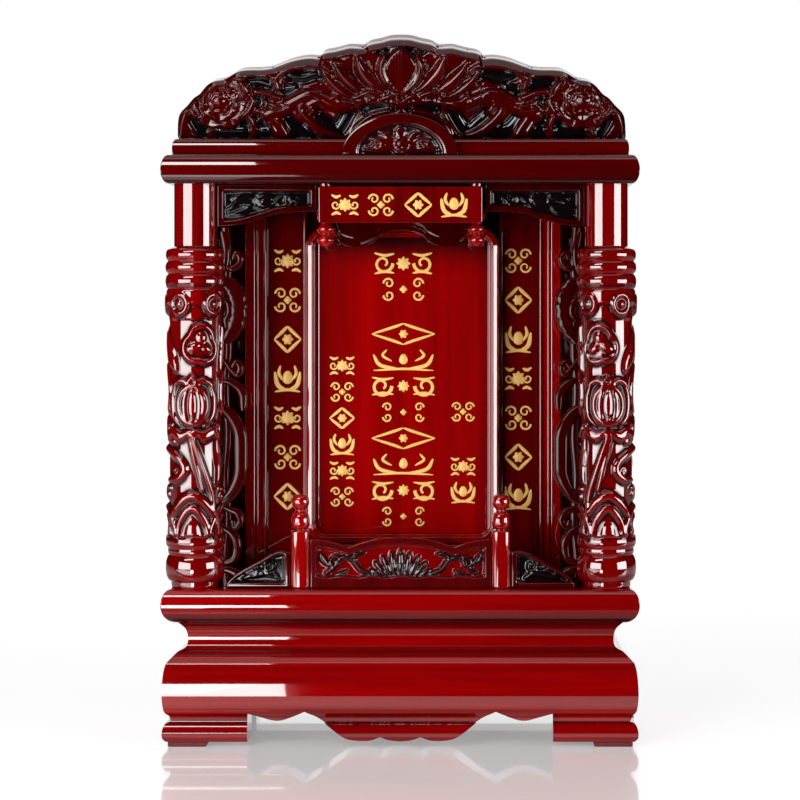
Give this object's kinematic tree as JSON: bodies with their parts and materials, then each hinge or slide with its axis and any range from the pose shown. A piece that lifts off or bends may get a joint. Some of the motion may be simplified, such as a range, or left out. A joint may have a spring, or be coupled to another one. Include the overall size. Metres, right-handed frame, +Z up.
{
  "type": "ancestral tablet",
  "caption": "Lacquered household ancestral tablet: moulded base, two carved columns, leaning carved crest, framed tablet, low balustrade and a back that slides up.",
  "frame": {"origin": "on the floor under the middle of the base", "axes": "+Z up, front faces -Y, +X to the right seen from the front"},
  "size_m": [0.32, 0.16, 0.48],
  "materials": {
    "lacquer": "gloss",
    "dark_lacquer": "gloss",
    "plain_wood": "matte",
    "gilt": "gloss",
    "pad": "matte"
  },
  "bodies": {
    "case": {"base_back_board": "lacquer", "base_front_board": "lacquer", "base_left_board": "lacquer", "base_right_board": "lacquer", "base_top_board": "lacquer", "case_side_left": "lacquer", "case_side_right": "lacquer", "column_left": "lacquer", "column_right": "lacquer", "corner_block_front_left": "plain_wood", "corner_block_front_right": "plain_wood", "corner_block_rear_left": "plain_wood", "corner_block_rear_right": "plain_wood", "cornice_board": "lacquer", "cornice_step_board": "lacquer", "couplet_board_left": "lacquer", "couplet_board_right": "lacquer", "couplet_rim_left": "lacquer", "couplet_rim_right": "lacquer", "crest_backing": "dark_lacquer", "crest_board": "lacquer", "crest_brace_left": "plain_wood", "crest_brace_right": "plain_wood", "crest_medallion": "lacquer", "foot_pad_front_left": "pad", "foot_pad_front_right": "pad", "foot_pad_rear_left": "pad", "foot_pad_rear_right": "pad", "name_board": "plain_wood", "name_board_batten_left": "plain_wood", "name_board_batten_right": "plain_wood", "name_plaque": "lacquer", "pendant_left": "lacquer", "pendant_right": "lacquer", "rail_centre": "lacquer", "rail_panel": "lacquer", "rail_post_left": "lacquer", "rail_post_right": "lacquer", "rail_side_left": "lacquer", "rail_side_right": "lacquer", "rear_sill": "lacquer", "rear_stile_left": "lacquer", "rear_stile_right": "lacquer", "spandrel_left": "lacquer", "spandrel_right": "lacquer", "tablet_backboard": "lacquer", "tablet_frame": "lacquer", "tablet_panel": "lacquer", "tablet_plinth": "lacquer", "valance": "dark_lacquer", "wall_left": "lacquer", "wall_right": "lacquer", "wing_left": "lacquer", "wing_right": "lacquer"},
    "sliding_back": {"back_slide": "lacquer"}
  },
  "joints": [
    {"name": "back_lift", "type": "slide", "parent": "case", "child": "sliding_back", "axis": [0, 0, 1], "range_m": [0, 0.275]}
  ]
}
